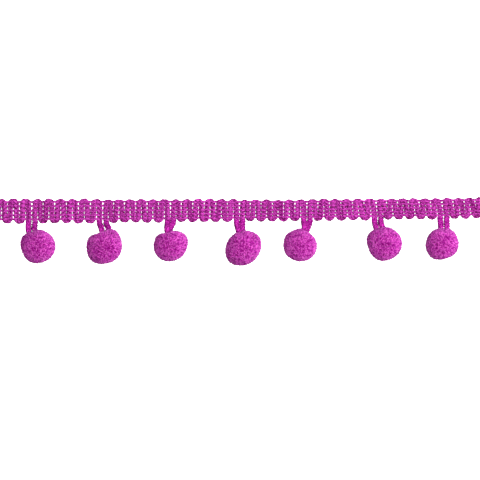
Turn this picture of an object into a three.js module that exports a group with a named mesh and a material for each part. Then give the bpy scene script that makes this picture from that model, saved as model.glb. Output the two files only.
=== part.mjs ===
// A cut length of pompom trim, lying flat with its face up. Lengths are in millimetres.
// +X runs along the trim, +Y points to the braid's free edge, the pompoms lie towards -Y, +Z is up.
import * as THREE from 'three';
import { ConvexGeometry } from 'three/addons/geometries/ConvexGeometry.js';

// Braid: one thick cord laid up and down in close legs, bound by rows of chain stitch
const LEGS_PER_LOOP = 12;
const LEGS_BEFORE_FIRST_LOOP = 7;
const LEGS_AFTER_LAST_LOOP = 8;
// Where the outermost stitch rows run: the braid rises and narrows a little from left to right
const BRAID_SECTIONS = [
  { x: -97, farRow: 11.2, nearRow: 4.6 },
  { x: -42, farRow: 11.4, nearRow: 4.9 },
  { x: 12, farRow: 11.3, nearRow: 5.45 },
  { x: 42, farRow: 11.6, nearRow: 5.8 },
  { x: 97, farRow: 12.15, nearRow: 6.5 },
];
// The five stitch rows, as shares of the way from the near row to the far one
const STITCH_ROWS = [0, 0.23, 0.49, 0.76, 1];
const FAR_RIM = 0.35;
const FAR_SCALLOP = 0.6;
const NEAR_RIM = 0.5;
const NEAR_SCALLOP = 0.75;
const RIM_HEIGHT = 0.75;
const RIM_TUCK = 0.3;
const STITCH_CROWN = 1.8;
const STITCH_DIP = 1.4;
const LEG_CROWN = 1.6;
const LEG_DIP = 1.2;
const PINHOLE_DIP = 0.8;
// Points across one leg, as shares of its width, and how far up its round top each one lies
const LEG_POINTS = [
  { across: 0, rise: 0 },
  { across: 1 / 3, rise: 0.95 },
  { across: 2 / 3, rise: 0.95 },
];

// Loops: the braid's cord drawn out in two legs, with a turn at the pompom
const CORD_RADIUS = 0.95;
const CORD_PLIES = 3;
const PLY_RELIEF = 0.1;
const TWIST_LENGTH = 6.6;
const CORD_SIDES = 9;
const CORD_STEPS = 20;
const CORD_HEIGHT = 1.05;
const TURN_RADIUS = 1;
// How far the handles of a half circle's Bezier curve reach, as a share of its radius
const HALF_CIRCLE_PULL = 4 / 3;
const LEAVING_PULL = 1.8;
const ARRIVING_PULL = 1.4;
const CLEARANCE = 0.35;

// Pompoms: a core, and three-sided tufts of pile that part towards their tips
const PILE_LENGTH = 1.5;
const POMPOM_HEIGHT = 12.5;
const POMPOM_SQUASH = 0.45;
const LOOP_DROP_ANGLE = 12;
// Rings of the points between the tufts, counted from the loop's way in: angle in degrees and points
const PARTING_RINGS = [
  { angle: 0, points: 1 },
  { angle: 38, points: 5 },
  { angle: 74, points: 7 },
  { angle: 108, points: 7 },
  { angle: 144, points: 4 },
  { angle: 180, points: 1 },
];
const PARTING_WANDER = 0.08;
const POCKET_SHARE = 0.68;
const POCKET_MOUTH_SHARE = 0.79;
// A tuft's shape: how far up the pile, and its width there as a share of its width at the root
const TUFT_SHOULDER = { up: 0.55, width: 0.86 };
const TUFT_TIP = { up: 0.92, width: 0.62 };
const TUFT_CROWN_UP = 1.08;
const TUFT_UNEVENNESS = 0.12;
// loop: where the loop leaves the braid; x, y: the pompom's middle; wide, deep: its widths seen from above;
// lean: how far its wide way is turned; entry: the way in for the loop; opened: how far the legs part
const POMPOMS = [
  { loop: -79.6, x: -77.2, y: -5.6, wide: 13.2, deep: 12.4, lean: 0, entry: 112, opened: 2.2 },
  { loop: -52.4, x: -52.0, y: -5.8, wide: 13.2, deep: 13.0, lean: 30, entry: 81, opened: 2.7 },
  { loop: -26.6, x: -26.6, y: -5.4, wide: 12.8, deep: 11.8, lean: 5, entry: 101, opened: 2.1 },
  { loop: -0.1, x: 1.1, y: -6.2, wide: 13.8, deep: 12.3, lean: 42, entry: 98, opened: 2.2 },
  { loop: 25.6, x: 22.9, y: -5.0, wide: 12.5, deep: 12.2, lean: 60, entry: 71, opened: 2.2 },
  { loop: 52.6, x: 55.0, y: -4.5, wide: 13.2, deep: 12.5, lean: 10, entry: 109, opened: 2.2 },
  { loop: 77.9, x: 77.2, y: -4.7, wide: 12.4, deep: 11.8, lean: 0, entry: 85, opened: 2.3 },
];

const YARN_ROUGHNESS = 0.9;
const BRAID_COLOR = 0xb01f97;
const CORD_COLOR = 0xb8289d;
const PILE_COLOR = 0xc638ad;

const yarn = (color) => new THREE.MeshStandardMaterial({ color, roughness: YARN_ROUGHNESS, metalness: 0 });
const radians = THREE.MathUtils.degToRad;
const UP = new THREE.Vector3(0, 0, 1);

// A number from -1 to 1 that looks random and is always the same for the same key
const scatter = (key) => 2 * THREE.MathUtils.seededRandom(key) - 1;

// The triangles that fill an outline, which turn the same way as the outline does
function capFaces(outline) {
  const faces = THREE.ShapeUtils.triangulateShape([...outline], []);
  const [a, b, c] = faces[0];
  const faceArea = THREE.ShapeUtils.area([outline[a], outline[b], outline[c]]);
  const sameWay = Math.sign(faceArea) === Math.sign(THREE.ShapeUtils.area(outline));
  return sameWay ? faces : faces.map((face) => face.reverse());
}

// A closed body through rings of points, all with the same number of points, with a flat cap at each end.
// The rings turn anticlockwise as seen by one who looks back from the last ring.
function skin(rings, capPlane) {
  const size = rings[0].length;
  const positions = rings.flat().flatMap((point) => point.toArray());
  const faces = [];
  for (let ring = 0; ring + 1 < rings.length; ring += 1) {
    for (let i = 0; i < size; i += 1) {
      const a = ring * size + i;
      const b = ring * size + ((i + 1) % size);
      faces.push(a, b, b + size, a, b + size, a + size);
    }
  }
  const start = capFaces(rings[0].map(capPlane));
  const end = capFaces(rings.at(-1).map(capPlane));
  const last = (rings.length - 1) * size;
  start.forEach(([a, b, c]) => faces.push(c, b, a));
  end.forEach(([a, b, c]) => faces.push(last + a, last + b, last + c));
  const geometry = new THREE.BufferGeometry();
  geometry.setAttribute('position', new THREE.Float32BufferAttribute(positions, 3));
  geometry.setIndex(faces);
  return geometry;
}

// The triangles of the hull of some directions, as their numbers, turned outwards
function hullFaces(directions) {
  const corners = new ConvexGeometry(directions).attributes.position;
  const faces = [];
  for (let i = 0; i < corners.count; i += 3) {
    faces.push([0, 1, 2].map((k) => {
      const corner = new THREE.Vector3().fromBufferAttribute(corners, i + k);
      const gaps = directions.map((direction) => direction.distanceTo(corner));
      return gaps.indexOf(Math.min(...gaps));
    }));
  }
  return faces;
}

function named(name, geometry, color) {
  geometry.computeVertexNormals();
  const mesh = new THREE.Mesh(geometry, yarn(color));
  mesh.name = name;
  return mesh;
}

// The gaps between the cord's legs, in order: each has its x and what the cord does at its two ends.
// Lower turns are at every second gap, upper turns at the ones between, and a loop takes the place of a turn.
function legGaps() {
  const gaps = [];
  const addRun = (from, to, legs, startsAt) => {
    for (let i = 0; i < legs; i += 1) {
      gaps.push({ x: THREE.MathUtils.lerp(from, to, i / legs), number: startsAt + i });
    }
  };
  const loops = POMPOMS.map((pompom) => pompom.loop);
  const firstLeg = (loops[1] - loops[0]) / LEGS_PER_LOOP;
  const lastLeg = (loops.at(-1) - loops.at(-2)) / LEGS_PER_LOOP;
  const start = loops[0] - LEGS_BEFORE_FIRST_LOOP * firstLeg;
  const end = loops.at(-1) + LEGS_AFTER_LAST_LOOP * lastLeg;
  addRun(start, loops[0], LEGS_BEFORE_FIRST_LOOP, -LEGS_BEFORE_FIRST_LOOP);
  for (let i = 0; i + 1 < loops.length; i += 1) {
    addRun(loops[i], loops[i + 1], LEGS_PER_LOOP, i * LEGS_PER_LOOP);
  }
  const lastLoop = (loops.length - 1) * LEGS_PER_LOOP;
  addRun(loops.at(-1), end, LEGS_AFTER_LAST_LOOP, lastLoop);
  gaps.push({ x: end, number: lastLoop + LEGS_AFTER_LAST_LOOP });
  for (const gap of gaps) {
    gap.lowerTurn = gap.number % 2 === 0;
    gap.loop = gap.number % LEGS_PER_LOOP === 0;
  }
  return gaps;
}

// The y of the near and far stitch rows at a place along the braid, in smooth steps between the sections
function rowsAt(x) {
  const next = BRAID_SECTIONS.findIndex((section) => section.x >= x);
  const b = BRAID_SECTIONS[next];
  const a = BRAID_SECTIONS[next - 1];
  const share = THREE.MathUtils.smootherstep(x, a.x, b.x);
  return {
    near: THREE.MathUtils.lerp(a.nearRow, b.nearRow, share),
    far: THREE.MathUtils.lerp(a.farRow, b.farRow, share),
  };
}

// How far a scallop bulges at a share of a leg's width from its middle: a half ellipse over the two legs
const bulge = (awayFromMiddle) => Math.sqrt(1 - awayFromMiddle ** 2);

// One section of the braid: a flat underside, a rim at each edge, and stitch rows with dips between them
function braidRing(x, rise, lowerShare, upperShare, inLoop, dips) {
  const { near, far } = rowsAt(x);
  const nearEdge = near - NEAR_RIM - (inLoop ? 0 : NEAR_SCALLOP * lowerShare);
  const farEdge = far + FAR_RIM + FAR_SCALLOP * upperShare;
  const top = [];
  STITCH_ROWS.forEach((share, row) => {
    const y = THREE.MathUtils.lerp(near, far, share);
    top.push(new THREE.Vector3(x, y, THREE.MathUtils.lerp(STITCH_DIP, STITCH_CROWN, rise)));
    if (row < dips.length) {
      const between = (share + STITCH_ROWS[row + 1]) / 2;
      const z = THREE.MathUtils.lerp(dips[row], LEG_CROWN, rise);
      top.push(new THREE.Vector3(x, THREE.MathUtils.lerp(near, far, between), z));
    }
  });
  return [
    new THREE.Vector3(x, nearEdge + RIM_TUCK, 0),
    new THREE.Vector3(x, farEdge - RIM_TUCK, 0),
    new THREE.Vector3(x, farEdge, RIM_HEIGHT),
    ...top.reverse(),
    new THREE.Vector3(x, nearEdge, RIM_HEIGHT),
  ];
}

// The braid has pin-holes between its legs, which are dips here. In the lowest row of holes they lie
// only over the upper turns' gaps, in the highest only over the lower ones, where the legs stand apart.
function braid() {
  const gaps = legGaps();
  const rings = [];
  for (let i = 0; i < gaps.length; i += 1) {
    const gap = gaps[i];
    const next = gaps[i + 1];
    const lowest = gap.lowerTurn ? LEG_DIP : PINHOLE_DIP;
    const highest = gap.lowerTurn ? PINHOLE_DIP : LEG_DIP;
    const dips = [lowest, PINHOLE_DIP, PINHOLE_DIP, highest];
    for (const { across, rise } of next ? LEG_POINTS : LEG_POINTS.slice(0, 1)) {
      const x = next ? THREE.MathUtils.lerp(gap.x, next.x, across) : gap.x;
      const fromGap = bulge(across);
      const fromNext = bulge(1 - across);
      const lowerShare = gap.lowerTurn ? fromGap : fromNext;
      const upperShare = gap.lowerTurn ? fromNext : fromGap;
      const inLoop = (gap.lowerTurn ? gap : next)?.loop ?? false;
      rings.push(braidRing(x, rise, lowerShare, upperShare, inLoop, dips));
    }
  }
  return named('heading_braid', skin(rings, (point) => new THREE.Vector2(point.y, point.z)), BRAID_COLOR);
}

// The direction from a pompom's middle out to where its loop goes in
function entryOf(pompom) {
  const drop = radians(LOOP_DROP_ANGLE);
  const turn = radians(pompom.entry);
  return new THREE.Vector3(Math.cos(turn) * Math.cos(drop), Math.sin(turn) * Math.cos(drop), -Math.sin(drop));
}

// The pile's three half widths, its core's, and its middle, which is lower than half its height because
// the pile under it is pressed level
function sizesOf(pompom) {
  const pile = new THREE.Vector3(pompom.wide / 2, pompom.deep / 2, (POMPOM_HEIGHT + POMPOM_SQUASH) / 2);
  const core = pile.clone().subScalar(PILE_LENGTH);
  const middle = new THREE.Vector3(pompom.x, pompom.y, POMPOM_HEIGHT - pile.z);
  return { pile, core, middle };
}

// The distance from the middle to an ellipsoid's surface in a direction, with its wide way turned by lean
function reachOf(halves, lean, direction) {
  const turned = direction.clone().applyAxisAngle(UP, -radians(lean));
  return 1 / turned.divide(halves).length();
}

// Three plies twisted round a curve, raised in the section's points
function twistedCord(curve, startTurn) {
  const length = curve.getLength();
  const rings = [];
  for (let step = 0; step <= CORD_STEPS; step += 1) {
    const along = step / CORD_STEPS;
    const middle = curve.getPointAt(along);
    const ahead = curve.getTangentAt(along);
    const side = UP.clone().cross(ahead).normalize();
    const up = ahead.clone().cross(side);
    const turn = startTurn + (2 * Math.PI * along * length) / TWIST_LENGTH;
    const ring = [];
    for (let i = 0; i < CORD_SIDES; i += 1) {
      const angle = (2 * Math.PI * i) / CORD_SIDES;
      const radius = CORD_RADIUS * (1 - PLY_RELIEF + PLY_RELIEF * Math.cos(CORD_PLIES * angle));
      const point = middle.clone();
      point.addScaledVector(side, radius * Math.cos(angle + turn));
      point.addScaledVector(up, radius * Math.sin(angle + turn));
      ring.push(point);
    }
    rings.push(ring);
  }
  return skin(rings, (point) => new THREE.Vector2(point.x, point.z));
}

// A loop: one leg runs from the braid's edge up to the pompom, turns in its pocket, and the other comes back
function loop(pompom, number) {
  const { core, middle } = sizesOf(pompom);
  const entry = entryOf(pompom);
  const across = UP.clone().cross(entry).normalize();
  const pocket = reachOf(core, pompom.lean, entry) * POCKET_MOUTH_SHARE;
  const turnEnd = middle.clone().addScaledVector(entry, pocket + CLEARANCE + CORD_RADIUS);
  const edge = rowsAt(pompom.loop).near - NEAR_RIM - CLEARANCE;
  const legEnds = [1, -1].map((side) => {
    const from = new THREE.Vector3(pompom.loop + (side * pompom.opened) / 2, edge, CORD_HEIGHT);
    const to = turnEnd.clone().addScaledVector(entry, TURN_RADIUS);
    to.addScaledVector(across, -side * TURN_RADIUS);
    const leaving = from.clone().add(new THREE.Vector3(0, -LEAVING_PULL, 0));
    const arriving = to.clone().addScaledVector(entry, ARRIVING_PULL);
    const turning = to.clone().addScaledVector(entry, -HALF_CIRCLE_PULL * TURN_RADIUS);
    return { from, leaving, arriving, to, turning };
  });
  const [right, left] = legEnds;
  const path = new THREE.CurvePath();
  path.add(new THREE.CubicBezierCurve3(right.from, right.leaving, right.arriving, right.to));
  path.add(new THREE.CubicBezierCurve3(right.to, right.turning, left.turning, left.to));
  path.add(new THREE.CubicBezierCurve3(left.to, left.arriving, left.leaving, left.from));
  return named(`loop_${number}`, twistedCord(path, Math.PI * scatter(number)), CORD_COLOR);
}

// The directions of the points between a pompom's tufts. The first one is the loop's way in.
function partings(entry, number) {
  const turnToEntry = new THREE.Quaternion().setFromUnitVectors(UP, entry);
  const directions = [];
  PARTING_RINGS.forEach(({ angle, points }, ring) => {
    for (let i = 0; i < points; i += 1) {
      const key = number + 7 * directions.length;
      const wander = points > 1 ? PARTING_WANDER : 0;
      const down = radians(angle) + wander * scatter(key);
      const round = (2 * Math.PI * i) / points + ring + number + wander * scatter(key + 3);
      const direction = new THREE.Vector3().setFromSphericalCoords(1, down, round);
      // setFromSphericalCoords counts from +Y, so +Y is turned to +Z first
      direction.applyAxisAngle(new THREE.Vector3(1, 0, 0), Math.PI / 2);
      directions.push(direction.applyQuaternion(turnToEntry));
    }
  });
  return directions;
}

// A pompom: each face between three parting points is drawn out into a tuft, but for those round the
// pocket where the loop goes in. Tufts under the pompom are shorter, and end level on the surface.
function pompomBall(pompom, number) {
  const { pile, core, middle } = sizesOf(pompom);
  const directions = partings(entryOf(pompom), number);
  const placed = (direction, distance) => middle.clone().addScaledVector(direction, distance);
  const roots = directions.map((direction, i) => {
    const pocket = i === 0 ? POCKET_SHARE : 1;
    return placed(direction, reachOf(core, pompom.lean, direction) * pocket);
  });
  const positions = roots.flatMap((point) => point.toArray());
  const faces = [];
  const addPoint = (direction, up, root) => {
    const coreReach = reachOf(core, pompom.lean, direction);
    const reach = THREE.MathUtils.lerp(coreReach, reachOf(pile, pompom.lean, direction), up);
    const point = placed(direction, reach);
    if (point.z < 0) {
      point.lerp(root, point.z / (point.z - root.z));
    }
    positions.push(...point.toArray());
    return positions.length / 3 - 1;
  };
  for (const corners of hullFaces(directions)) {
    if (corners.includes(0)) {
      faces.push(...corners);
      continue;
    }
    const heart = new THREE.Vector3();
    corners.forEach((corner) => heart.add(directions[corner]));
    heart.normalize();
    const unevenness = TUFT_UNEVENNESS * scatter(number + faces.length);
    const heartRoot = placed(heart, reachOf(core, pompom.lean, heart));
    const ringOf = ({ up, width }) => corners.map((corner) => {
      const direction = heart.clone().lerp(directions[corner], width).normalize();
      return addPoint(direction, up + unevenness, roots[corner]);
    });
    const rings = [corners, ringOf(TUFT_SHOULDER), ringOf(TUFT_TIP)];
    const crown = addPoint(heart, TUFT_CROWN_UP + unevenness, heartRoot);
    for (let i = 0; i < 3; i += 1) {
      const next = (i + 1) % 3;
      for (const [lower, upper] of [[rings[0], rings[1]], [rings[1], rings[2]]]) {
        faces.push(lower[i], lower[next], upper[next], lower[i], upper[next], upper[i]);
      }
      faces.push(rings[2][i], rings[2][next], crown);
    }
  }
  const geometry = new THREE.BufferGeometry();
  geometry.setAttribute('position', new THREE.Float32BufferAttribute(positions, 3));
  geometry.setIndex(faces);
  return named(`pompom_${number}`, geometry, PILE_COLOR);
}

// The whole trim, with its origin under the middle of its outline
function pompomTrim() {
  const trim = new THREE.Group();
  trim.add(braid());
  POMPOMS.forEach((pompom, i) => {
    trim.add(loop(pompom, i + 1));
    trim.add(pompomBall(pompom, i + 1));
  });
  const outline = new THREE.Box3().setFromObject(trim);
  const middle = outline.getCenter(new THREE.Vector3());
  trim.position.set(-middle.x, -middle.y, 0);
  return trim;
}

export default pompomTrim();
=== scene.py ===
"""Looks of a cut length of pompom trim: a scalloped braid of thick twisted cord, bound by chain stitch, with round
cut-pile pompoms hung along its lower edge on loops of the same cord.

Lengths are in millimetres until a mesh is filled. The axes are the frame's: +X runs along the trim, +Y to the
braid's free edge, and +Z up out of its face. Places come from the solids' boxes and the values below.
"""

import math

import bpy
import numpy as np
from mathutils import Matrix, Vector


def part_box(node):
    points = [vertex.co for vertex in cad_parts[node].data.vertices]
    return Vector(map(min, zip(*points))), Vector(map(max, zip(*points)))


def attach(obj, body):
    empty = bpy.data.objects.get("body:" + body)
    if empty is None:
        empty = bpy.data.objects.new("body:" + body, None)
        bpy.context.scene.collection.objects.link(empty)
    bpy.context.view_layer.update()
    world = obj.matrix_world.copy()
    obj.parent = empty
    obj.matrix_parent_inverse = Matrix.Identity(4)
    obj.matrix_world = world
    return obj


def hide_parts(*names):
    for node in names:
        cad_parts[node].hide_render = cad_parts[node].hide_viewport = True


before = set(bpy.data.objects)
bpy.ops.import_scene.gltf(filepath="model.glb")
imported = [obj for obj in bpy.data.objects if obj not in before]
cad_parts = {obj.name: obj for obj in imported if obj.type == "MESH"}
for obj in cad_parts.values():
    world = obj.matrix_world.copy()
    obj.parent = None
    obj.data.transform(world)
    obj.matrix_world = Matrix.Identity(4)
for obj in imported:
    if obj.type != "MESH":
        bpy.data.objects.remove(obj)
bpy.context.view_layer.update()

MM = 0.001
TAU = 2 * math.pi
UP = np.array([0.0, 0.0, 1.0])

# The trim's layout, as the solids have it.
# x, y of the far stitch row, y of the near stitch row, and how far the far turns' middle line stands beyond its row
BRAID_SECTIONS = np.array([
    (-97.0, 11.20, 4.60, 0.30),
    (-66.0, 11.30, 4.70, 0.24),
    (-42.0, 11.35, 4.90, 0.12),
    (-13.0, 11.30, 5.15, 0.30),
    (12.0, 11.25, 5.42, 0.02),
    (42.0, 11.48, 5.80, 0.14),
    (70.0, 11.75, 6.15, 0.04),
    (97.0, 12.10, 6.52, 0.16),
])
STITCH_ROWS = np.array([0.0, 0.23, 0.49, 0.76, 1.0])
# x, and how far the legs lean to the left there from the near stitch row up, as a share of the height
LEG_SLANT = np.array([(34.0, 0.0), (48.0, 0.11), (97.0, 0.12)])
LEGS_PER_LOOP = 12
FIRST_GAP, LAST_GAP = -7, 80
# loop: where the loop leaves the braid. x, y: the pompom's middle. wide, deep: its widths from above. lean: how far
# its wide way is turned. entry: the loop's way in. opened: how far the legs part at the braid. turn: half of their
# distance in the pompom. roll: how far the loop is rolled there, its right leg down. swells: the ways in which the
# ball is fuller or flatter than an ellipsoid, and by how much.
POMPOMS = [
    dict(loop=-79.6, x=-76.9, y=-5.75, wide=13.2, deep=12.4, lean=0, entry=112, opened=2.52, turn=1.2, roll=0,
         swells=((90, 0.15), (150, 0.4), (200, -0.3), (248, 0.32))),
    dict(loop=-52.45, x=-51.6, y=-5.9, wide=13.7, deep=13.0, lean=48, entry=88, opened=2.6, turn=1.38, roll=0,
         swells=((54, 0.65), (112, -1.3), (150, 0.45), (225, 0.35), (275, -0.3))),
    dict(loop=-26.55, x=-26.4, y=-5.4, wide=12.9, deep=11.8, lean=28, entry=98, opened=2.2, turn=1.1, roll=66,
         swells=((30, 0.5), (75, -0.3), (108, -1.2), (138, 0.45))),
    dict(loop=-0.1, x=1.25, y=-6.35, wide=14.1, deep=12.5, lean=42, entry=98, opened=2.3, turn=1.1, roll=45,
         swells=((32, 0.45), (226, 0.42))),
    dict(loop=25.65, x=23.05, y=-5.2, wide=12.7, deep=12.2, lean=-40, entry=71, opened=2.4, turn=1.1, roll=60,
         swells=((45, -0.45), (118, -0.3), (150, 0.3), (212, 0.4))),
    dict(loop=52.75, x=55.1, y=-4.7, wide=13.3, deep=12.6, lean=10, entry=107, opened=2.45, turn=1.15, roll=0,
         swells=((48, -0.25), (150, 0.6), (200, -0.35), (258, 0.3))),
    dict(loop=77.95, x=77.0, y=-4.85, wide=12.5, deep=11.9, lean=0, entry=82, opened=2.5, turn=1.2, roll=0,
         swells=((50, 0.35), (160, -0.25), (232, 0.45), (290, -0.4))),
]
SWELL_WIDTH = 24       # degrees from a swell's middle to where it has fallen to a third
LEG_START = 0.85       # a loop's legs leave the braid this far below the near stitch row
LEG_STEPS, TURN_STEPS = 8, 6
LEG_PULL = 2.2         # how far below their start they still head straight down
TURN_PULL = 1.4        # how straight they come into the turn in the pompom
HALF_CIRCLE_PULL = 4 / 3
TURN_CLEARANCE = 1.3   # the turn's middle line stays this far off the bottom of the solid pompom's pocket
GAP_PULL = 0.35        # between two loops the legs lie this far to the left of an even spacing

# The twisted cord.
PLIES = 4
PLY_SIDES = 8
PLY_RADIUS = 0.56
PLY_FROM_MIDDLE = 0.53
PLY_OVER_FLOOR = 0.02
PLY_LAY = -3.2         # length in which a ply's own filaments wind round once, the other way than the plies
PLY_SHIFT = 37         # each ply takes its streaks this far along the noise from the next one's
TWIST_LENGTH = 5.2
UNEVEN_TWIST = 4.5     # millimetres of cord over which its twist changes
TWIST_CHANGE = 0.12    # turns by which it is ahead or behind at most
CORD_STEP = 0.33
LINE_STEPS = 8         # steps of a smooth line from one of its points to the next
BRAID_CORD = dict(wide=1.015, high=0.80)
LOOP_CORD = dict(wide=1.15, high=1.03)
BLEND_STEPS = 9        # steps over which the cord goes from its braid shape to its loop shape
LEG_PITCH = 2.21       # mean distance between two legs of the cord
CORD_MIDDLE = 0.86     # height of the cord's middle in the braid
LOOP_MIDDLE = 0.98
STITCH_PINCH = 0.13    # how much lower the cord is where a stitch row ties it
PINCH_LENGTH = 0.3
SIDE_PINCH = 0.6       # share of that by which the cord narrows sideways
LEG_TOP = 1.1          # the straight legs end this far below the far stitch row
LEG_WANDER = 0.03      # how far a leg lies beside its place at most
TURN_WANDER = 0.12     # how far a turn stands out or in at most
LOOP_DIP = 0.2         # on its way to a loop the cord passes this far below the end of its leg
NEAR_TURN = 0.95       # from a near turn's two ends to its outermost point, along the cord's middle
FAR_TURN = 0.975
TURN_SQUARE = 0.75     # 1 is a round turn, less is squarer
NEAR_PINCH = 0.09      # how far a leg leans to the other leg of its turn
FAR_PINCH = 0.05
LOOP_PULL = 0.1        # a loop draws the two legs it comes from apart
FAR_PUFF = 0.15        # how much fuller the cord is in the far turns, which no stitch holds
NEAR_REACH = 0.69      # the near turns' middle line ends this far beyond the near stitch row

# The chain stitches.
THREAD_RADIUS = 0.235
THREAD_SIDES = 6
THREAD_STEP = 0.46
THREAD_LAY = 2.0
THREAD_OVER_FLOOR = 0.01
STITCH_STEPS = 6
STITCH_WANDER = 0.05   # how far a stitch lies beside its row at most
ROW_START, ROW_END = 0.35, 0.55   # a row starts this far past the first gap and ends this far before the last
LEFT_OUT = 6           # points of the last stitch that are left out, as none follows it
# one stitch: share of the way to the next gap, distance to the side, height
STITCH = np.array([
    (0.00, 0.00, 0.30), (0.03, 0.06, 1.00), (0.10, 0.20, 1.50), (0.33, 0.26, 1.78), (0.66, 0.26, 1.80),
    (0.97, 0.23, 1.50), (1.14, 0.00, 1.36), (0.97, -0.23, 1.50), (0.66, -0.26, 1.80), (0.33, -0.26, 1.78),
    (0.10, -0.20, 1.55), (0.04, -0.06, 1.00), (0.08, 0.00, 0.34), (0.30, 0.00, 0.22), (0.75, 0.00, 0.22),
])

# The pompoms.
POMPOM_HEIGHT = 12.5
POMPOM_SQUASH = 0.45
LOOP_DROP = math.radians(12)
POCKET_REACH = 0.79
CORE_DEPTH = 1.5       # the loop turns in a core this far under the pile's ends
BALL_DEPTH = 0.6       # the closed ball of matted pile between the single ends starts this far down
BALL_ROUND, BALL_DOWN = 40, 22   # steps round the ball and from pole to pole
SLOT = dict(aside=13, for_turn=5.5, over=11)   # degrees from the way in that the pile leaves free for the loop
POCKET = dict(depth=0.3, width=20)   # share of the ball's reach, and degrees, of its dimple at the loop's way in
VALLEY = dict(depth=0.4, width=9, fades=(15, 75))   # its widths in degrees, and those from the way in where it ends
FIBRES = 24000
TUFTS = 1150
TUFT_HALF = 0.29       # from a tuft's ridge to its edge
TUFT_LIMIT = 1.3       # a single end this many times as far out is as low and as deep in painted shade as any
TUFT_DOME = 0.26       # how much lower the ends are at a tuft's edge
TUFT_LEAN = 0.02
RIDGE_SPREAD, RIDGE_GATHER = 1.02, 0.5   # a tuft's size at its tips over that at its roots, along its ridge and across
RIDGE_COUNTS = 0.5     # share of a way along the ridge that the distance from it leaves out
FIBRE_RADIUS = 0.15
FIBRE_SPREAD = (0.85, 1.15)   # from the thinnest to the stoutest, as shares of it
FIBRE_ROOT = 0.15      # the roots start this far under the ball's surface
PILE_RISE = 0.31
STRAY_SHARE = 0.05     # single ends that stand out of the sheared ball
STRAY_THICKNESS = 0.6  # share of the others' thickness
FLOOR_GAP = 0.05
ROOT_FLOOR, BALL_FLOOR = 0.3, 0.4   # least heights of the roots and of the ball
# how far a root, a tuft's middle, an end and a stray end stand beside their places, as shares of the ball's radius
ROOT_WANDER, TUFT_WANDER, END_WANDER, STRAY_WANDER = 0.006, 0.025, 0.010, 0.05
# least and greatest height of a tuft, of an end in it and of a stray end, over the sheared surface
TUFT_HEIGHTS, END_HEIGHTS, STRAY_HEIGHTS = (-0.14, 0.1), (-0.12, 0.05), (0.0, 0.4)
# depth of the dye: its spread from tuft to tuft and from end to end, and its middle; then painted shade: how far the
# colour falls at a tuft's edge, and the ball's
TUFT_TINT, END_TINT, MIDDLE_TINT, EDGE_PAINTED_SHADE, BALL_PAINTED_SHADE = 1.0, 0.4, 1.3, 3.2, -1.1

# The bake map, as shares of it.
CELL_MARGIN = 0.06
RINGS_PER_CELL = 64
BAKE_BANDS = 32
BANDS_TOP = 0.95
END_FROM, END_TO = 0.12, 0.96       # an end's height in its band
CAP_CORNERS = ((0.9, 0.09), (0.5, 0.03), (0.1, 0.09))
BALL_STRIP, STRIP_HEIGHT = 0.955, 0.043

# The stage. The picture's width is what the photo shows at the height of the picture's middle.
FLOOR_HALF = 2500
LAMP = dict(azimuth=math.radians(14), elevation=math.radians(65), distance=900, size=450, watts=10.8)
PICTURE_WIDTH = 183.36
PICTURE_MIDDLE = (0.35, -3.43, 3)
LENS, SENSOR = 200, 36


# Curves.
def smooth_line(points, steps):
    """A curve through all the points: from one to the next it is the cubic that leaves and arrives in the direction
    between each point's two neighbours, taken at `steps` even shares."""
    p = np.vstack([2 * points[0] - points[1], points, 2 * points[-1] - points[-2]])
    a, b, c, d = (p[k : len(p) - 3 + k, None] for k in range(4))
    t = (np.arange(steps) / steps)[:, None]
    curve = b + t * (c - a) / 2 + t**2 * (a - 2.5 * b + 2 * c - d / 2) + t**3 * (1.5 * (b - c) + (d - a) / 2)
    return np.vstack([curve.reshape(-1, points.shape[1]), points[-1:]])


def lengths(line):
    """The distance along a line from its start to each of its points."""
    return np.r_[0, np.cumsum(np.linalg.norm(np.diff(line, axis=0), axis=1))]


def bezier(a, b, c, d, steps):
    """The cubic from a to d that leaves towards b and arrives from c, without its last point."""
    t = (np.arange(steps) / steps)[:, None]
    return (1 - t) ** 3 * a + 3 * t * (1 - t) ** 2 * b + 3 * t**2 * (1 - t) * c + t**3 * d


def unit(vectors):
    """Vectors over their own lengths."""
    return vectors / np.linalg.norm(vectors, axis=-1, keepdims=True)


def squared(wave):
    """A sine or cosine drawn a little to its ends, so that a circle made of it is squared."""
    return np.sign(wave) * np.abs(wave) ** TURN_SQUARE


def smoothstep(x, low, high):
    """0 below low, 1 above high, and a smooth S between them."""
    t = np.clip((x - low) / (high - low), 0, 1)
    return t * t * (3 - 2 * t)


def rows_at(x):
    """y of the near and far stitch rows at x, and how far the far turns stand out: smooth steps from one section of
    the braid to the next."""
    x = np.asarray(x, float)
    at = np.clip(np.searchsorted(BRAID_SECTIONS[:, 0], x) - 1, 0, len(BRAID_SECTIONS) - 2)
    a, b = BRAID_SECTIONS[at], BRAID_SECTIONS[at + 1]
    t = np.clip((x - a[..., 0]) / (b[..., 0] - a[..., 0]), 0, 1)
    t = t**3 * (t * (6 * t - 15) + 10)
    far, near, reach = (a[..., k] + t * (b[..., k] - a[..., k]) for k in (1, 2, 3))
    return near, far, reach


def slanted(x, y):
    """x moved to the left by the legs' slant there, times the height of y over the near stitch row."""
    return x - np.interp(x, LEG_SLANT[:, 0], LEG_SLANT[:, 1]) * (y - rows_at(x)[0])


# Parts of a mesh: points, faces, a place for each face's corners in the bake map, and marks on the points.
def part(points, faces, corners, cells, marks):
    """points (n, 3); faces, corners: lists of arrays with one row a face; cells: each face's cell of the bake map."""
    return dict(points=points, faces=faces, corners=corners, cells=cells, marks=marks)


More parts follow.
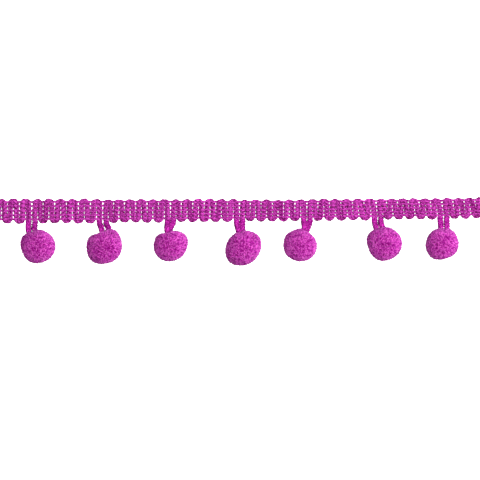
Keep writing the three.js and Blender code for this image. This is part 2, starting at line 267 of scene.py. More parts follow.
def joined(parts):
    """Several parts as one: their points and faces put end to end, and their cells numbered on."""
    first_point, first_cell, whole = 0, 0, part([], [], [], [], {})
    for p in parts:
        whole["points"].append(p["points"])
        whole["faces"] += [f + first_point for f in p["faces"]]
        whole["corners"] += p["corners"]
        whole["cells"] += [c + first_cell for c in p["cells"]]
        for name, values in p["marks"].items():
            whole["marks"].setdefault(name, []).append(values)
        first_point += len(p["points"])
        first_cell += 1 + max(int(c.max()) for c in p["cells"])
    whole["points"] = np.vstack(whole["points"])
    whole["marks"] = {name: np.concatenate(values) for name, values in whole["marks"].items()}
    return whole


def square_cells(p):
    """Corners in a square grid of cells with room for all of them, each cell with a margin."""
    count = 1 + max(int(c.max()) for c in p["cells"])
    side = math.ceil(math.sqrt(count))
    corners = []
    for uv, cell in zip(p["corners"], p["cells"]):
        place = np.column_stack([cell % side, cell // side])[:, None, :]
        corners.append((place + CELL_MARGIN + (1 - 2 * CELL_MARGIN) * uv) / side)
    return dict(p, corners=corners)


def strand(line, side, up, radius, sides, across, high, marks):
    """A closed tube: round each point of the line, an ellipse in the plane of side and up, with flat end caps.
    Its faces are laid out in the bake map as runs of rings, one run a cell."""
    count = len(line)
    angle = TAU * np.arange(sides) / sides
    ring = radius * (
        np.cos(angle)[None, :, None] * side[:, None] * across[:, None, None]
        + np.sin(angle)[None, :, None] * up[:, None] * high[:, None, None]
    )
    points = (line[:, None] + ring).reshape(-1, 3)
    step, i = np.meshgrid(np.arange(count - 1), np.arange(sides), indexing="ij")
    step, i = step.ravel(), i.ravel()
    a, b = step * sides + i, step * sides + (i + 1) % sides
    quads = np.column_stack([a, b, b + sides, a + sides])
    run, low = step // RINGS_PER_CELL, (step % RINGS_PER_CELL) / RINGS_PER_CELL
    left, right, top = i / sides, (i + 1) / sides, low + 1 / RINGS_PER_CELL
    corners = np.stack([np.column_stack(c) for c in ((left, low), (right, low), (right, top), (left, top))], 1)
    caps = np.stack([np.arange(sides)[::-1], (count - 1) * sides + np.arange(sides)])
    disc = np.column_stack([0.5 + 0.45 * np.cos(angle), 0.5 + 0.45 * np.sin(angle)])
    cells = [run, run[-1] + np.array([1, 2])]
    return part(points, [quads, caps], [corners, np.stack([disc[::-1], disc])], cells, marks)


def filaments(along, sides, radius, lay):
    """For each point of a strand, a place on a cylinder whose lines wind round it once in `lay` millimetres: the
    cosine and sine of its turned angle, and the distance along. Noise on it shows the strand's fine filaments."""
    angle = TAU * np.arange(sides)[None, :] / sides - TAU * along[:, None] / lay
    far_along = np.broadcast_to(along[:, None], angle.shape)
    return np.stack([radius * np.cos(angle), radius * np.sin(angle), far_along], -1).reshape(-1, 3)


# The cord: one line that goes through the whole braid and out and back in every loop.
def gap_places():
    """x of each gap between the cord's legs. They are even between two loops, and drawn a little to the left."""
    numbers = np.arange(FIRST_GAP, LAST_GAP + 1)
    loops = np.array([p["loop"] for p in POMPOMS])
    first, last = (loops[1] - loops[0]) / LEGS_PER_LOOP, (loops[-1] - loops[-2]) / LEGS_PER_LOOP
    last_loop = LEGS_PER_LOOP * (len(loops) - 1)
    places = np.r_[loops[0] + FIRST_GAP * first, loops, loops[-1] + (LAST_GAP - last_loop) * last]
    x = np.interp(numbers, np.r_[FIRST_GAP, LEGS_PER_LOOP * np.arange(len(loops)), LAST_GAP], places)
    pull = 1 - np.abs(2 * (numbers % LEGS_PER_LOOP) / LEGS_PER_LOOP - 1) ** 4
    return numbers, x - GAP_PULL * pull * ((numbers > FIRST_GAP) & (numbers < last_loop))


def sizes_of(pompom):
    """A pompom's three half widths, the middle of its ball, and the unit way out to its loop."""
    halves = np.array([pompom["wide"], pompom["deep"], POMPOM_HEIGHT + POMPOM_SQUASH]) / 2
    middle = np.array([pompom["x"], pompom["y"], POMPOM_HEIGHT - halves[2]])
    turn = math.radians(pompom["entry"])
    entry = np.array([
        math.cos(turn) * math.cos(LOOP_DROP),
        math.sin(turn) * math.cos(LOOP_DROP),
        -math.sin(LOOP_DROP),
    ])
    return halves, middle, entry


def reach_of(halves, lean, directions):
    """From the middle of an ellipsoid to its surface, in directions, with its wide way turned by lean degrees."""
    c, s = math.cos(math.radians(lean)), math.sin(math.radians(lean))
    turned = directions @ np.array([[c, -s, 0], [s, c, 0], [0, 0, 1]])
    return 1 / np.linalg.norm(turned / halves, axis=-1)


def loop_line(pompom):
    """A loop's middle line, left leg first: down from the braid, half round in the pompom, and back up."""
    halves, middle, entry = sizes_of(pompom)
    across = unit(np.cross(UP, entry))
    pocket = float(reach_of(halves - CORE_DEPTH, pompom["lean"], entry)) * POCKET_REACH
    turn_end = middle + entry * (pocket + TURN_CLEARANCE)
    roll, radius = math.radians(pompom["roll"]), pompom["turn"]
    aside = across * math.cos(roll) + np.cross(entry, across) * math.sin(roll)
    edge = rows_at(pompom["loop"])[0] - LEG_START
    legs = []
    for side in (-1, 1):
        start = np.array([pompom["loop"] + side * pompom["opened"] / 2, edge, LOOP_MIDDLE])
        end = turn_end + entry * radius - aside * side * radius
        out, back, over = [0, LEG_PULL, 0], entry * TURN_PULL, entry * radius * HALF_CIRCLE_PULL
        legs.append((start, start - out, end + back, end, end - over))
    left, right = legs
    return np.vstack([
        bezier(left[0], left[1], left[2], left[3], LEG_STEPS),
        bezier(left[3], left[4], right[4], right[3], TURN_STEPS),
        bezier(right[3], right[2], right[1], right[0], LEG_STEPS),
        right[0][None],
    ])


def cord_line():
    """The cord's middle line, its distance along, and where each loop starts and ends in it. It runs up and down
    in straight legs joined by half ellipses, and goes out along a loop's line where a loop takes a turn's place."""
    rng = np.random.default_rng(11)
    numbers, gaps = gap_places()
    at_loop = (numbers % LEGS_PER_LOOP == 0) * 1.0
    legs = (gaps[:-1] + gaps[1:]) / 2 + rng.uniform(-LEG_WANDER, LEG_WANDER, len(gaps) - 1)
    legs += LOOP_PULL * (at_loop[:-1] - at_loop[1:])
    reaches = rng.uniform(-TURN_WANDER, TURN_WANDER, len(gaps))
    half_turn = np.radians([180, 216, 252, 288, 324, 360])
    points, loops = [], []
    for k in range(len(legs)):
        near, far, stands_out = rows_at(legs[k])
        low, high = near - NEAR_REACH + NEAR_TURN, far - LEG_TOP
        down = numbers[k] % 2 == 1
        shares = np.array([0.0, 0.3, 0.7, 1.0]) if k == 0 else np.array([0.3, 0.7])
        shares = 1 - shares if down else shares
        bends = (FAR_PINCH * shares - NEAR_PINCH * (1 - shares)) * (-1 if down else 1)
        y = low + (high - low) * shares
        points.append(np.column_stack([slanted(legs[k] + bends, y), y, np.full(len(shares), CORD_MIDDLE)]))
        if k + 1 == len(legs):
            break
        if at_loop[k + 1]:
            loop = loop_line(POMPOMS[numbers[k + 1] // LEGS_PER_LOOP])
            start = sum(map(len, points)) + 1
            loops.append((start, start + len(loop) - 1))
            dips = [[x, low - LOOP_DIP, CORD_MIDDLE] for x in (legs[k] + NEAR_PINCH, legs[k + 1] - NEAR_PINCH)]
            points += [dips[:1], loop, dips[1:]]
            continue
        at_near = numbers[k + 1] % 2 == 0
        middle = (legs[k] + legs[k + 1]) / 2
        half = (legs[k + 1] - legs[k]) / 2 - (NEAR_PINCH if at_near else FAR_PINCH)
        depth = (NEAR_TURN if at_near else FAR_TURN + stands_out) + reaches[k + 1]
        y = (low if at_near else high) + (1 if at_near else -1) * depth * squared(np.sin(half_turn))
        x = slanted(middle + half * squared(np.cos(half_turn)), y)
        points.append(np.column_stack([x, y, np.full(len(half_turn), CORD_MIDDLE)]))
    line = smooth_line(np.vstack(points), LINE_STEPS)
    reach = lengths(line)
    cuts = [(reach[a * LINE_STEPS], reach[b * LINE_STEPS]) for a, b in loops]
    marks = np.linspace(0, reach[-1], round(reach[-1] / CORD_STEP) + 1)
    even = np.column_stack([np.interp(marks, reach, line[:, k]) for k in range(3)])
    cuts = [tuple(int(round(c / marks[1])) for c in pair) for pair in cuts]
    return even, marks, cuts


def cord_shape(line, in_loop):
    """How wide and how high the cord is along its line, as shares: pressed flat in the braid, wider where its legs
    lie further apart, drawn in where a stitch row ties it, and nearly round in a loop."""
    near, far, _ = rows_at(line[:, 0])
    rows = near[:, None] + (far - near)[:, None] * STITCH_ROWS
    tied = np.exp(-(((line[:, 1:2] - rows) / PINCH_LENGTH) ** 2)).sum(1) * (1 - in_loop)
    puff = FAR_PUFF * smoothstep(line[:, 1] - far, -0.7, 0.0)
    gaps = gap_places()[1]
    in_braid = BRAID_CORD["wide"] * np.interp(line[:, 0], gaps, np.gradient(gaps)) / LEG_PITCH
    wide = in_braid + (LOOP_CORD["wide"] - in_braid) * in_loop - STITCH_PINCH * SIDE_PINCH * tied + puff
    high = BRAID_CORD["high"] + (LOOP_CORD["high"] - BRAID_CORD["high"]) * in_loop - STITCH_PINCH * tied + puff
    return wide, high


def plies_of(line, along, shape, start, end):
    """The cord between two of its steps, as plies: each one's line winds round the cord's once a twist length."""
    ahead = unit(np.gradient(line, axis=0))
    side = unit(np.cross(UP, ahead))
    up = np.cross(ahead, side)
    # the twist is tighter in one place than in the next
    knots = np.arange(0, along[-1] + UNEVEN_TWIST, UNEVEN_TWIST)
    ahead_by = np.random.default_rng(3).uniform(-TWIST_CHANGE, TWIST_CHANGE, len(knots))
    turned = along / TWIST_LENGTH + np.interp(along, knots, ahead_by)
    wide, high = (s[start : end + 1] for s in shape)
    middle, side, up, along, turned = (v[start : end + 1] for v in (line, side, up, along, turned))
    plies = []
    for ply in range(PLIES):
        turn = TAU * (turned + ply / PLIES)
        c, s = np.cos(turn) * PLY_FROM_MIDDLE, np.sin(turn) * PLY_FROM_MIDDLE
        own = middle + side * (c * wide)[:, None] + up * (s * high)[:, None]
        # the floor holds the plies up
        own[:, 2] = np.maximum(own[:, 2], PLY_RADIUS * np.maximum(wide, high) + PLY_OVER_FLOOR)
        marks = {"strand": filaments(along + PLY_SHIFT * ply, PLY_SIDES, PLY_RADIUS, PLY_LAY)}
        made = strand(own, side, up, PLY_RADIUS, PLY_SIDES, wide, high, marks)
        axis = np.repeat(middle, PLY_SIDES, axis=0)
        # painted shade: the colour is deeper in the grooves between the plies and on the cord's lower half
        out = np.linalg.norm(made["points"] - axis, axis=1) / (PLY_FROM_MIDDLE + PLY_RADIUS)
        on_top = smoothstep(made["points"][:, 2] - axis[:, 2], -0.15, 0.6)
        made["marks"]["outer"] = smoothstep(out, 0.5, 1.0) * (0.2 + 0.8 * on_top)
        plies.append(made)
    return plies


# The chain stitches.
def stitch_line(share):
    """One row of chain stitch: the line of one stitch, from under the braid up through a gap, out along one side,
    round the next stitch's rise and back along the other side, is repeated from gap to gap."""
    gaps = gap_places()[1]
    gaps[0] += ROW_START
    gaps[-1] -= ROW_END
    rng = np.random.default_rng(int(1000 * share) + 5)
    pitch = np.diff(gaps)
    x = gaps[:-1, None] + pitch[:, None] * STITCH[None, :, 0]
    offset = STITCH[None, :, 1] + rng.uniform(-STITCH_WANDER, STITCH_WANDER, (len(pitch), 1))
    z = np.repeat(STITCH[None, :, 2], len(pitch), axis=0)
    near, far, _ = rows_at(x)
    y = near + (far - near) * share + offset
    points = np.stack([slanted(x, y), y, z], -1).reshape(-1, 3)
    line = smooth_line(points[:-LEFT_OUT], STITCH_STEPS)
    line[:, 2] = np.maximum(line[:, 2], THREAD_RADIUS + THREAD_OVER_FLOOR)
    reach = lengths(line)
    marks = np.linspace(0, reach[-1], round(reach[-1] / THREAD_STEP) + 1)
    return np.column_stack([np.interp(marks, reach, line[:, k]) for k in range(3)]), marks


def stitch_row(share):
    """A row of chain stitch as one strand of round thread along its line."""
    line, along = stitch_line(share)
    ahead = unit(np.gradient(line, axis=0))
    # no stretch of a stitch runs in this direction, so the rings turn evenly
    steady = unit(np.array([0.15, 0.78, 0.6]))
    side = unit(np.cross(steady, ahead))
    up = np.cross(ahead, side)
    full = np.ones(len(line))
    lay = filaments(along, THREAD_SIDES, THREAD_RADIUS, THREAD_LAY)
    marks = {"strand": lay, "outer": np.ones(len(lay))}
    return strand(line, side, up, THREAD_RADIUS, THREAD_SIDES, full, full, marks)


# The pompoms.
def even_directions(count):
    """Directions spread evenly over a sphere: equal steps of height, each turned by the golden angle."""
    k = np.arange(count) + 0.5
    z = 1 - 2 * k / count
    turn = k * math.pi * (3 - math.sqrt(5))
    r = np.sqrt(1 - z * z)
    return np.column_stack([r * np.cos(turn), r * np.sin(turn), z])


def pile_surface(pompom, directions):
    """How far the cut pile reaches in each direction: an ellipsoid with its swells added, each a smooth mound, and
    with a shallow valley from the loop's way in over the top, where the tie parts the pile."""
    halves, _, entry = sizes_of(pompom)
    across = unit(np.cross(UP, entry))
    from_entry = np.degrees(np.arccos(np.clip(directions @ entry, -1, 1)))
    from_valley = np.degrees(np.arcsin(np.clip(directions @ across, -1, 1)))
    valley = np.exp(-((from_valley / VALLEY["width"]) ** 2)) * (1 - smoothstep(from_entry, *VALLEY["fades"]))
    swell = 0
    for way, height in pompom["swells"]:
        heading = np.array([math.cos(math.radians(way)), math.sin(math.radians(way)), 0])
        away = np.degrees(np.arccos(np.clip(directions @ heading, -1, 1)))
        swell = swell + height * np.exp(-((away / SWELL_WIDTH) ** 2))
    return reach_of(halves, pompom["lean"], directions) + PILE_RISE + swell - VALLEY["depth"] * valley


def at_floor(points, roots):
    """Points under the floor's gap are drawn back along the way to their roots, until they are level with it."""
    over = np.clip((FLOOR_GAP - points[:, 2]) / np.maximum(roots[:, 2] - points[:, 2], 1e-6), 0, 1)
    return points + (roots - points) * over[:, None]


def clear_of_loop(pompom, directions):
    """Which directions lie outside the slot that the loop goes in by: an ellipse of degrees round the way in, wider
    where the loop's legs are further apart, and rolled with them."""
    entry = sizes_of(pompom)[2]
    across = unit(np.cross(UP, entry))
    above = np.cross(entry, across)
    c, s = math.cos(math.radians(pompom["roll"])), math.sin(math.radians(pompom["roll"]))
    ahead = directions @ entry
    aside = np.degrees(np.arctan2(directions @ (across * c + above * s), np.abs(ahead)))
    over = np.degrees(np.arctan2(directions @ (above * c - across * s), np.abs(ahead)))
    wide = SLOT["aside"] + SLOT["for_turn"] * pompom["turn"]
    return (np.hypot(aside / wide, over / SLOT["over"]) > 1) | (ahead < 0)


def pile_corners(own):
    """The pile's corners in the bake map: bands of narrow columns, each an end from its root, below, to its tip,
    with the ends of one tuft side by side."""
    count, i = len(own), np.arange(3)
    columns = math.ceil(count / BAKE_BANDS)
    order = np.empty(count, int)
    order[np.lexsort((np.arange(count), own))] = np.arange(count)
    w, h = 1 / columns, BANDS_TOP / BAKE_BANDS
    u0, v0 = (order % columns) / columns, (order // columns) / BAKE_BANDS * BANDS_TOP
    left, right = u0[:, None] + w * i / 3, u0[:, None] + w * (i + 1) / 3
    low, tall = (np.broadcast_to(v0[:, None] + h * share, left.shape) for share in (END_FROM, END_TO))
    corners = ((left, low), (right, low), ((left + right) / 2, tall))
    spikes = np.stack([np.stack(corner, -1) for corner in corners], 2).reshape(-1, 3, 2)
    caps = np.stack([np.stack([u0 + w * a, v0 + h * b], -1) for a, b in CAP_CORNERS], 1)
    return [spikes, caps]


def pile(pompom, number):
    """Single ends of cut pile, each a three-sided spike with a closed root, that stand out of the ball all round.
    They lean together in small ridges, each turned its own way, and are parted where the loop goes in."""
    rng = np.random.default_rng(100 + number)
    halves, middle, _ = sizes_of(pompom)
    roots = unit(even_directions(FIBRES) + rng.normal(0, ROOT_WANDER, (FIBRES, 3)))
    roots = roots[clear_of_loop(pompom, roots)]
    count = len(roots)
    tufts = unit(even_directions(TUFTS) + rng.normal(0, TUFT_WANDER, (TUFTS, 3)))
    own = np.argmax(roots.astype(np.float32) @ tufts.T.astype(np.float32), axis=1)
    heart = tufts[own]
    along = rng.normal(size=(TUFTS, 3))
    along = unit(along - tufts * np.sum(along * tufts, 1, keepdims=True))[own]
    off = roots - heart
    in_ridge = along * np.sum(off * along, 1, keepdims=True)
    lean = rng.normal(0, TUFT_LEAN, (TUFTS, 3))[own]
    stray = rng.random(count) < STRAY_SHARE
    wander = rng.normal(0, END_WANDER, (count, 3)) + stray[:, None] * rng.normal(0, STRAY_WANDER, (count, 3))
    tips = unit(heart + in_ridge * RIDGE_SPREAD + (off - in_ridge) * RIDGE_GATHER + lean + wander)
    edge = np.linalg.norm(off - in_ridge * RIDGE_COUNTS, axis=1) * halves.mean() / TUFT_HALF
    edge = np.minimum(edge, TUFT_LIMIT) ** 2
    height = -TUFT_DOME * edge + rng.uniform(*TUFT_HEIGHTS, TUFTS)[own] + rng.uniform(*END_HEIGHTS, count)
    height = np.where(stray, rng.uniform(*STRAY_HEIGHTS, count), height)
    root_at = middle + roots * (pile_surface(pompom, roots) - BALL_DEPTH - FIBRE_ROOT)[:, None]
    root_at[:, 2] = np.maximum(root_at[:, 2], ROOT_FLOOR)
    tip_at = at_floor(middle + tips * (pile_surface(pompom, tips) + height)[:, None], root_at)
    first = unit(np.cross(roots, UP + 1e-3))
    second = np.cross(roots, first)
    angle = TAU * np.arange(3) / 3 + rng.uniform(0, TAU, (count, 1))
    ring = np.cos(angle)[..., None] * first[:, None] + np.sin(angle)[..., None] * second[:, None]
    thick = FIBRE_RADIUS * rng.uniform(*FIBRE_SPREAD, count) * np.where(stray, STRAY_THICKNESS, 1)
    points = np.concatenate([root_at[:, None] + ring * thick[:, None, None], tip_at[:, None]], 1)
    base = 4 * np.arange(count)[:, None]
    i = np.arange(3)
    spikes = (base[:, :, None] + np.stack([i, (i + 1) % 3, np.full(3, 3)], -1)).reshape(-1, 3)
    caps = base + i[::-1]
    tint = rng.normal(0, TUFT_TINT, TUFTS)[own] + rng.normal(0, END_TINT, count)
    # painted shade: ends further from a tuft's ridge are darker, so the partings between tufts look shaded
    tint += MIDDLE_TINT - EDGE_PAINTED_SHADE * edge / TUFT_LIMIT**2
    marks = {"up": np.tile([0.0, 0, 0, 1.0], count), "tint": np.repeat(tint, 4), "stray": np.repeat(stray + 0.0, 4)}
    return part(points.reshape(-1, 3), [spikes, caps], pile_corners(own), [np.zeros(1, int)], marks)


def ball(pompom):
    """The closed ball of matted pile between the ends: rings of points at even angles from pole to pole, with one
    point at each pole, at the pile's surface less its depth, and a pocket where the loop goes in."""
    _, middle, entry = sizes_of(pompom)
    down = math.pi * np.arange(1, BALL_DOWN) / BALL_DOWN
    around = TAU * np.arange(BALL_ROUND) / BALL_ROUND
    d, a = np.meshgrid(down, around, indexing="ij")
    directions = np.stack([np.sin(d) * np.cos(a), np.sin(d) * np.sin(a), np.cos(d)], -1).reshape(-1, 3)
    directions = np.vstack([directions, [[0, 0, 1], [0, 0, -1]]])
    from_entry = np.degrees(np.arccos(np.clip(directions @ entry, -1, 1)))
    pocket = 1 - POCKET["depth"] * np.exp(-((from_entry / POCKET["width"]) ** 2))
    points = middle + directions * ((pile_surface(pompom, directions) - BALL_DEPTH) * pocket)[:, None]
    points[:, 2] = np.maximum(points[:, 2], BALL_FLOOR)
    rows, i = np.meshgrid(np.arange(BALL_DOWN - 2), np.arange(BALL_ROUND), indexing="ij")
    rows, i = rows.ravel(), i.ravel()
    a = rows * BALL_ROUND + i
    b = rows * BALL_ROUND + (i + 1) % BALL_ROUND
    quads = np.column_stack([a, a + BALL_ROUND, b + BALL_ROUND, b])
    i = np.arange(BALL_ROUND)
    n = (i + 1) % BALL_ROUND
    top, bottom = len(points) - 2, len(points) - 1
    last = (BALL_DOWN - 2) * BALL_ROUND
    poles = np.vstack([
        np.column_stack([np.full(BALL_ROUND, top), i, n]),
        np.column_stack([last + n, last + i, np.full(BALL_ROUND, bottom)]),
    ])
    def at(u, row):
        """A place in the bake map's strip above the bands of the single ends."""
        return np.stack([u / BALL_ROUND, BALL_STRIP + STRIP_HEIGHT * row / BALL_DOWN], -1)

    col = a % BALL_ROUND
    quad_uv = np.stack([at(col, rows + 1), at(col, rows + 2), at(col + 1, rows + 2), at(col + 1, rows + 1)], 1)
    low = 0 * i + BALL_DOWN - 1
    pole_uv = np.concatenate([
        np.stack([at(i + 0.5, 0 * i), at(i, 0 * i + 1), at(i + 1, 0 * i + 1)], 1),
        np.stack([at(i + 1, low), at(i, low), at(i + 0.5, low + 1)], 1),
    ])
    nothing = np.zeros(len(points))
    # painted shade: the ball takes the roots' dark colour and is darker still, as it shows only deep in the partings
    marks = {"up": nothing, "tint": nothing + BALL_PAINTED_SHADE, "stray": nothing}
    return part(points, [quads, poles], [quad_uv, pole_uv], [np.zeros(1, int)], marks)


# Meshes and materials.
def make_piece(name, made, material, replaced, shift):
    """Fills a mesh with a part's points, faces, bake map and marks, in metres and moved to the frame's place.
    Faces with more than four corners are a strand's end caps, and stay flat."""
    mesh = bpy.data.meshes.new(name)
    points = (made["points"] + shift) * MM
    faces = made["faces"]
    mesh.vertices.add(len(points))
    mesh.vertices.foreach_set("co", points.ravel().astype(np.float32))
    corners = np.concatenate([f.ravel() for f in faces]).astype(np.int32)
    sizes = np.concatenate([np.full(len(f), f.shape[1]) for f in faces])
    mesh.loops.add(len(corners))
    mesh.loops.foreach_set("vertex_index", corners)
    mesh.polygons.add(len(sizes))
    mesh.polygons.foreach_set("loop_start", np.r_[0, np.cumsum(sizes)[:-1]].astype(np.int32))
    mesh.polygons.foreach_set("use_smooth", sizes <= 4)
    uv = mesh.uv_layers.new(name="OFBake")
    places = np.concatenate([c.reshape(-1, 2) for c in made["corners"]])
    uv.uv.foreach_set("vector", places.ravel().astype(np.float32))
    for mark, values in made["marks"].items():
        vector = np.ndim(values) == 2
        attribute = mesh.attributes.new(mark, "FLOAT_VECTOR" if vector else "FLOAT", "POINT")
        attribute.data.foreach_set("vector" if vector else "value", np.ascontiguousarray(values, np.float32).ravel())
    mesh.materials.append(material)
    mesh.update()
    mesh.validate()
    piece = bpy.data.objects.new(name, mesh)
    bpy.context.scene.collection.objects.link(piece)
    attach(piece, "root")
    if replaced:
        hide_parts(*replaced)


def linear(hex_colour):
    """An sRGB hex colour as linear red, green, blue and alpha."""
    srgb = [int(hex_colour[i : i + 2], 16) / 255 for i in (1, 3, 5)]
    return tuple(c / 12.92 if c <= 0.04045 else ((c + 0.055) / 1.055) ** 2.4 for c in srgb) + (1.0,)


def new_material(name):
    """A material with no nodes yet."""
    material = bpy.data.materials.new(name)
    material.use_nodes = True
    material.node_tree.nodes.clear()
    return material


def add_node(material, kind, inputs=None, **settings):
    """A node with its settings, and with its inputs set to values or linked to other nodes' outputs."""
    made = material.node_tree.nodes.new(kind)
    for name, value in settings.items():
        setattr(made, name, value)
    for name, value in (inputs or {}).items():
        if isinstance(value, bpy.types.NodeSocket):
            material.node_tree.links.new(value, made.inputs[name])
        else:
            made.inputs[name].default_value = value
    return made


def mixed(material, share, first, second, blend="MIX"):
    """One colour mixed with another by a share."""
    made = add_node(material, "ShaderNodeMix", {0: share, 6: first, 7: second}, data_type="RGBA", blend_type=blend)
    return made.outputs[2]


def twisted_yarn(name, deep, body, light, filament_mm):
    """Dyed acrylic yarn, spun and plied: soft and matt with a faint bloom, fine filaments along each ply, painted shade
    in the grooves between plies and on the cord's lower half, and uneven where the dye took more or less."""
    material = new_material(name)
    lay = add_node(material, "ShaderNodeAttribute", attribute_name="strand").outputs["Vector"]
    outer = add_node(material, "ShaderNodeAttribute", attribute_name="outer").outputs["Fac"]
    # a filament is about a thirtieth of a millimetre, drawn two or three times as wide so that it shows
    fine = add_node(material, "ShaderNodeVectorMath", {
        0: lay, 1: (1 / filament_mm, 1 / filament_mm, 0.5),
    }, operation="MULTIPLY").outputs[0]
    filament = add_node(material, "ShaderNodeTexNoise", {
        "Vector": fine, "Scale": 1.0, "Detail": 2.0, "Roughness": 0.6,
    }).outputs["Fac"]
    # the dye is uneven in streaks of a third of a millimetre by one, which run with the twist
    streak = add_node(material, "ShaderNodeVectorMath", {0: lay, 1: (3.2, 3.2, 1.0)}, operation="MULTIPLY").outputs[0]
    mottle = add_node(material, "ShaderNodeTexNoise", {
        "Vector": streak, "Scale": 1.0, "Detail": 3.0, "Roughness": 0.6,
    }).outputs["Fac"]
    mottle = add_node(material, "ShaderNodeMapRange", {
        "Value": mottle, "From Min": 0.42, "From Max": 0.58,
    }).outputs["Result"]
    colour = mixed(material, mottle, linear(body), linear(light))
    streaks = add_node(material, "ShaderNodeMapRange", {
        "Value": filament, "From Min": 0.3, "From Max": 0.7, "To Min": 0.72, "To Max": 1.12,
    }).outputs["Result"]
    shade = add_node(material, "ShaderNodeCombineColor", {0: streaks, 1: streaks, 2: streaks}).outputs[0]
    colour = mixed(material, 1.0, colour, shade, "MULTIPLY")
    # painted shade: the deep colour where the cord lies in its grooves and on its lower half
    colour = mixed(material, outer, linear(deep), colour)
    bump = add_node(material, "ShaderNodeBump", {"Strength": 0.6, "Distance": 0.00006, "Height": filament})
    shader = add_node(material, "ShaderNodeBsdfPrincipled", {
        "Base Color": colour, "Roughness": 0.9, "IOR": 1.45, "Specular IOR Level": 0.0,
        "Sheen Weight": 0.01, "Sheen Roughness": 0.45, "Sheen Tint": linear("#f0c8ea"), "Normal": bump.outputs[0],
    })
    add_node(material, "ShaderNodeOutputMaterial", {"Surface": shader.outputs[0]})
    return material


def cut_pile():
    """Cut acrylic pile, sheared to a ball: matt velvet, with painted shade that deepens from the tips down between the
    ends, and a soft bloom at the rim, partly real sheen and partly painted in the stray ends' paler colour."""
    material = new_material("acrylic pile, cut and sheared")
    up, tint, stray = (
        add_node(material, "ShaderNodeAttribute", attribute_name=name).outputs["Fac"]
        for name in ("up", "tint", "stray")
    )
    # painted shade: dark at the roots and on the ball deep between the ends, paler towards the tips
    ramp = add_node(material, "ShaderNodeValToRGB", {"Fac": up})
    stops = ramp.color_ramp.elements
    stops[0].position, stops[0].color = 0.15, linear("#7c0a68")
    stops[1].position, stops[1].color = 1.0, linear("#d048c4")
    middle = stops.new(0.6)
    middle.color = linear("#bc24a8")
    # the tint moves the green most: a pale end has twice as much of it, and a third more of the rest, which whitens the
    # pale ends, partly the dye's depth and partly painted sheen
    shade, green = (
        add_node(material, "ShaderNodeMapRange", {
            "Value": tint, "From Min": least, "From Max": 2.0, "To Min": low, "To Max": high,
        }).outputs["Result"]
        for least, low, high in ((-2.0, 0.5, 1.42), (-1.2, 0.0, 4.1))
    )
    depth = add_node(material, "ShaderNodeCombineColor", {0: shade, 1: green, 2: shade}).outputs[0]
    colour = mixed(material, 1.0, ramp.outputs[0], depth, "MULTIPLY")
    # painted sheen: the stray ends are a paler lilac, for the bloom at the rim
    colour = mixed(material, stray, colour, linear("#c85cba"))
    shader = add_node(material, "ShaderNodeBsdfPrincipled", {
        "Base Color": colour, "Roughness": 0.95, "IOR": 1.45, "Specular IOR Level": 0.02,
        "Sheen Weight": 0.03, "Sheen Roughness": 0.5, "Sheen Tint": linear("#f4cdee"),
    })
    add_node(material, "ShaderNodeOutputMaterial", {"Surface": shader.outputs[0]})
    return material


def pale_floor():
    """A sheet of white card on a light table: matt, and lit from below so that it shows no hard shadow."""
    material = new_material("white card on a light table")
    place = add_node(material, "ShaderNodeTexCoord").outputs["Object"]
    grain = add_node(material, "ShaderNodeTexNoise", {"Vector": place, "Scale": 900.0, "Detail": 2.0}).outputs["Fac"]
    colour = mixed(material, grain, linear("#f6f6f6"), linear("#fdfdfd"))
    shader = add_node(material, "ShaderNodeBsdfPrincipled", {
        "Base Color": colour, "Roughness": 0.9, "Specular IOR Level": 0.1,
        "Emission Color": linear("#ffffff"), "Emission Strength": 1.6,
    })
    add_node(material, "ShaderNodeOutputMaterial", {"Surface": shader.outputs[0]})
    return material


# The pieces.
def build():
    """Makes all the pieces. What comes from the solids' boxes is where the braid starts and the loops leave it."""
    line, along, cuts = cord_line()
    near_at_loop = float(rows_at(POMPOMS[0]["loop"])[0])
    shift = np.array([
        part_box("heading_braid")[0].x / MM - float(gap_places()[1][0]),
        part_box("loop_1")[1].y / MM - (near_at_loop - LEG_START),
        0.0,
    ])
    in_loop = np.zeros(len(line))
    for start, end in cuts:
        in_loop[start : end + 1] = 1
    blend = np.hanning(BLEND_STEPS)
    in_loop = np.convolve(in_loop, blend / blend.sum(), "same")
    shape = cord_shape(line, in_loop)
    braid_yarn = twisted_yarn("acrylic cord, dyed and plied", "#50043c", "#5c0248", "#da50c4", 0.09)
    loop_yarn = twisted_yarn("acrylic cord, drawn out in loops", "#50044a", "#6e0260", "#c832ae", 0.09)
    thread = twisted_yarn("polyester stitching thread", "#50043c", "#640254", "#ce48ba", 0.06)
    runs = []
    edges = [0] + [e for cut in cuts for e in cut] + [len(line) - 1]
    for start, end in zip(edges[::2], edges[1::2]):
        runs += plies_of(line, along, shape, start, end)
    make_piece("heading_cord", square_cells(joined(runs)), braid_yarn, ["heading_braid"], shift)
    rows = [stitch_row(share) for share in STITCH_ROWS]
    make_piece("stitch_rows", square_cells(joined(rows)), thread, [], shift)
    pile_material = cut_pile()
    for number, (pompom, (start, end)) in enumerate(zip(POMPOMS, cuts), 1):
        loop = square_cells(joined(plies_of(line, along, shape, start, end)))
        make_piece(f"loop_cord_{number}", loop, loop_yarn, [f"loop_{number}"], shift)
        whole = joined([pile(pompom, number), ball(pompom)])
        make_piece(f"cut_pile_{number}", whole, pile_material, [f"pompom_{number}"], shift)


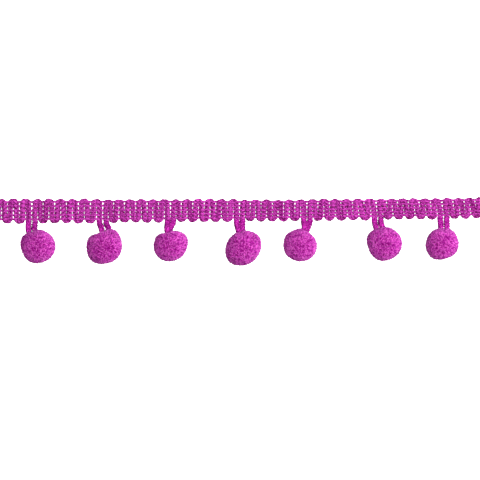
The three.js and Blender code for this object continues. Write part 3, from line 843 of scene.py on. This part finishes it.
def set_stage():
    """A wide pale floor, an even white surround, one large soft light from the right, and the camera straight above."""
    size = FLOOR_HALF * MM
    mesh = bpy.data.meshes.new("floor")
    mesh.from_pydata([(-size, -size, 0), (size, -size, 0), (size, size, 0), (-size, size, 0)], [], [(0, 1, 2, 3)])
    mesh.materials.append(pale_floor())
    floor = bpy.data.objects.new("floor", mesh)
    # the table is white to the eye and gives the part no light, as around a cut-out
    floor.visible_diffuse = floor.visible_glossy = False
    bpy.context.scene.collection.objects.link(floor)
    scene = bpy.context.scene
    scene.view_settings.view_transform = "Standard"
    world = bpy.data.worlds.new("soft surround")
    world.use_nodes = True
    scene.world = world
    # the surround is brighter above than below
    way = add_node(world, "ShaderNodeTexCoord").outputs["Generated"]
    height = add_node(world, "ShaderNodeSeparateXYZ", {0: way}).outputs["Z"]
    strength = add_node(world, "ShaderNodeMapRange", {
        "Value": height, "From Min": 0.0, "From Max": 1.0, "To Min": 0.25, "To Max": 1.25,
    }).outputs["Result"]
    background = world.node_tree.nodes["Background"]
    background.inputs["Color"].default_value = (1, 1, 1, 1)
    world.node_tree.links.new(strength, background.inputs["Strength"])
    light = bpy.data.lights.new("soft light", "AREA")
    light.shape, light.size, light.energy = "DISK", LAMP["size"] * MM, LAMP["watts"]
    lamp = bpy.data.objects.new("soft light", light)
    azimuth, elevation = LAMP["azimuth"], LAMP["elevation"]
    level = math.cos(elevation)
    towards = np.array([level * math.cos(azimuth), level * math.sin(azimuth), math.sin(elevation)])
    lamp.location = towards * LAMP["distance"] * MM
    lamp.rotation_euler = (0, math.pi / 2 - elevation, azimuth)
    scene.collection.objects.link(lamp)
    camera = bpy.data.cameras.new("camera")
    camera.lens, camera.sensor_width, camera.clip_start, camera.clip_end = LENS, SENSOR, 0.05, 10
    eye = bpy.data.objects.new("camera", camera)
    x, y, z = PICTURE_MIDDLE
    eye.location = (x * MM, y * MM, (z + PICTURE_WIDTH * LENS / SENSOR) * MM)
    scene.collection.objects.link(eye)
    scene.camera = eye


build()
set_stage()
